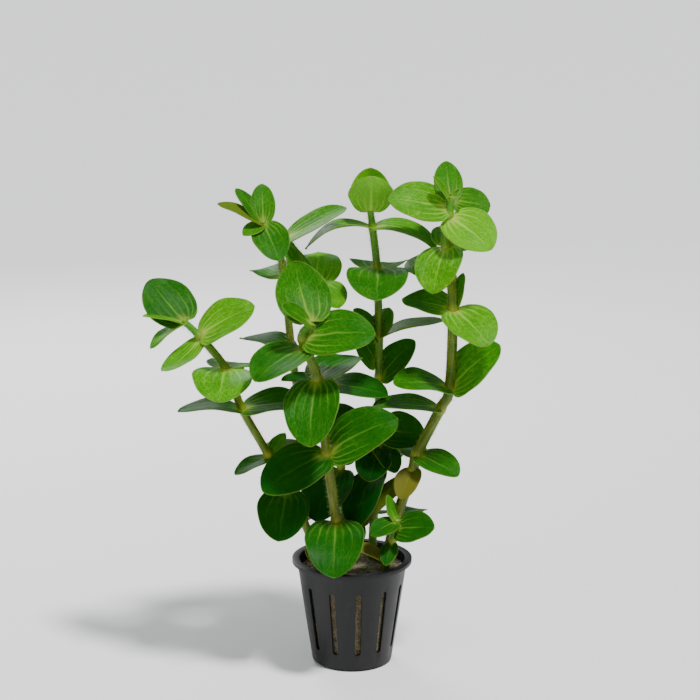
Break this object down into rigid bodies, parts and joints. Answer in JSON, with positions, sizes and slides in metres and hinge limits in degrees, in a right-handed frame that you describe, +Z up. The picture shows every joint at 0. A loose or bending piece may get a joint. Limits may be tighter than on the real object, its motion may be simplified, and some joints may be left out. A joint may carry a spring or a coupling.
{
  "type": "potted bacopa lanigera",
  "caption": "Potted aquarium plant: upright hairy stems with pairs of broad round stalkless leaves, rooted in a plug of mineral wool in a slotted plastic pot.",
  "frame": {"origin": "centre of the underside of the pot, on the surface that it stands on", "axes": "+Z up along the pot's axis, +X to the picture's right, +Y away from the picture's viewer"},
  "size_m": [0.1559, 0.0869, 0.2252],
  "materials": {
    "pot_plastic": "satin",
    "mineral_wool": "matte",
    "stem": "satin",
    "leaf": "satin",
    "old_leaf": "matte"
  },
  "bodies": {
    "root": {"growing_medium": "mineral_wool", "leaf_centre_1_far": "leaf", "leaf_centre_1_near": "leaf", "leaf_centre_2_far": "leaf", "leaf_centre_2_left": "leaf", "leaf_centre_2_right": "leaf", "leaf_centre_3_left": "leaf", "leaf_centre_3_right": "leaf", "leaf_centre_4_right": "leaf", "leaf_centre_5_far": "leaf", "leaf_centre_5_near": "leaf", "leaf_centre_6_left": "leaf", "leaf_centre_6_right": "leaf", "leaf_front_1_far": "leaf", "leaf_front_1_near": "leaf", "leaf_front_2_left": "leaf", "leaf_front_2_right": "leaf", "leaf_front_3_far": "leaf", "leaf_front_3_near": "leaf", "leaf_front_4_left": "leaf", "leaf_front_4_right": "leaf", "leaf_front_5_left": "leaf", "leaf_front_5_near": "leaf", "leaf_left_1_left": "leaf", "leaf_left_3_left": "leaf", "leaf_left_3_right": "leaf", "leaf_left_4_far": "leaf", "leaf_left_4_near": "leaf", "leaf_left_5_left": "leaf", "leaf_left_5_right": "leaf", "leaf_low_3_right": "leaf", "leaf_rear_1_far": "leaf", "leaf_rear_1_near": "leaf", "leaf_rear_2_left": "leaf", "leaf_rear_2_right": "leaf", "leaf_rear_3_far": "leaf", "leaf_rear_3_near": "leaf", "leaf_rear_4_right": "leaf", "leaf_rear_left_2_left": "leaf", "leaf_right_1_far": "leaf", "leaf_right_2_left": "old_leaf", "leaf_right_3_right": "leaf", "leaf_right_4_left": "leaf", "leaf_right_5_left": "leaf", "leaf_right_5_right": "leaf", "leaf_right_6_left": "leaf", "leaf_right_6_near": "leaf", "leaf_right_7_far": "leaf", "leaf_right_8_far": "leaf", "leaf_right_8_near": "leaf", "leaf_right_9_left": "leaf", "leaf_right_9_right": "leaf", "pot": "pot_plastic", "stem_centre": "stem", "stem_front": "stem", "stem_left": "stem", "stem_low": "stem", "stem_rear": "stem", "stem_rear_left": "stem", "stem_right": "stem"}
  },
  "joints": []
}
